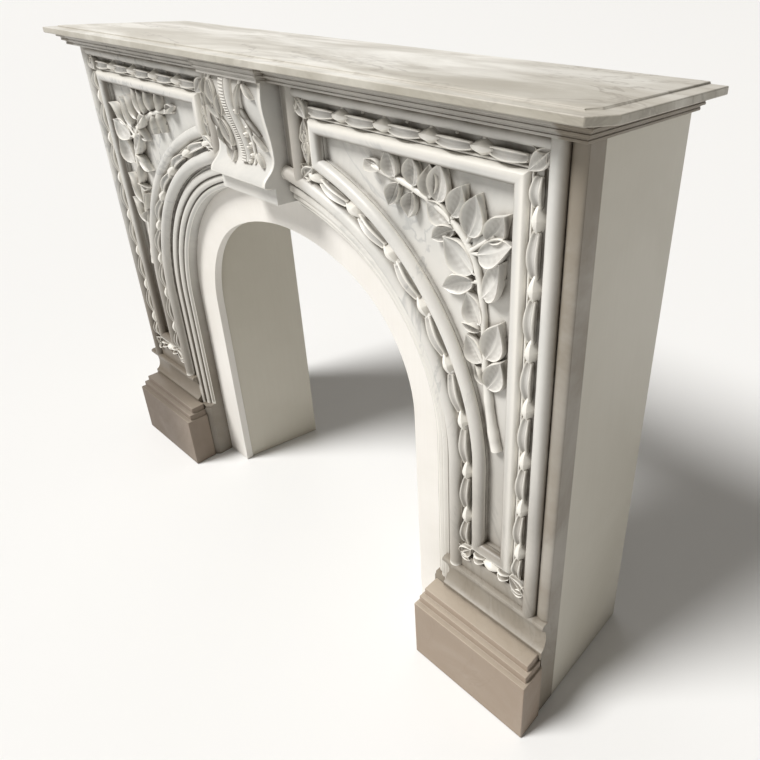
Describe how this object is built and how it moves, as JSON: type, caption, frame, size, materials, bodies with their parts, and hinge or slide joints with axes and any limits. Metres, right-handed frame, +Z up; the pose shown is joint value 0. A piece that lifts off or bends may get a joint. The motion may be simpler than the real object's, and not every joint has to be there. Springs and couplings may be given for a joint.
{
  "type": "fireplace mantel",
  "caption": "Arched marble chimneypiece with a moulded shelf, a carved keystone, carved spandrel legs on stepped plinths and a painted boarded surround.",
  "frame": {"origin": "centre of the bounding box at floor level", "axes": "+X to the right seen from the front, -Y towards the viewer, +Z up"},
  "size_m": [1.58, 0.358, 1.176],
  "materials": {
    "marble": "satin",
    "shelf_marble": "satin",
    "plinth_marble": "satin",
    "painted_board": "satin"
  },
  "bodies": {
    "root": {"shelf": "shelf_marble", "bed_moulding": "marble", "keystone": "marble", "right_leg": "marble", "left_leg": "marble", "right_plinth": "plinth_marble", "left_plinth": "plinth_marble", "arch_slip": "painted_board", "right_return": "painted_board", "left_return": "painted_board", "right_cheek": "painted_board", "left_cheek": "painted_board"}
  },
  "joints": []
}
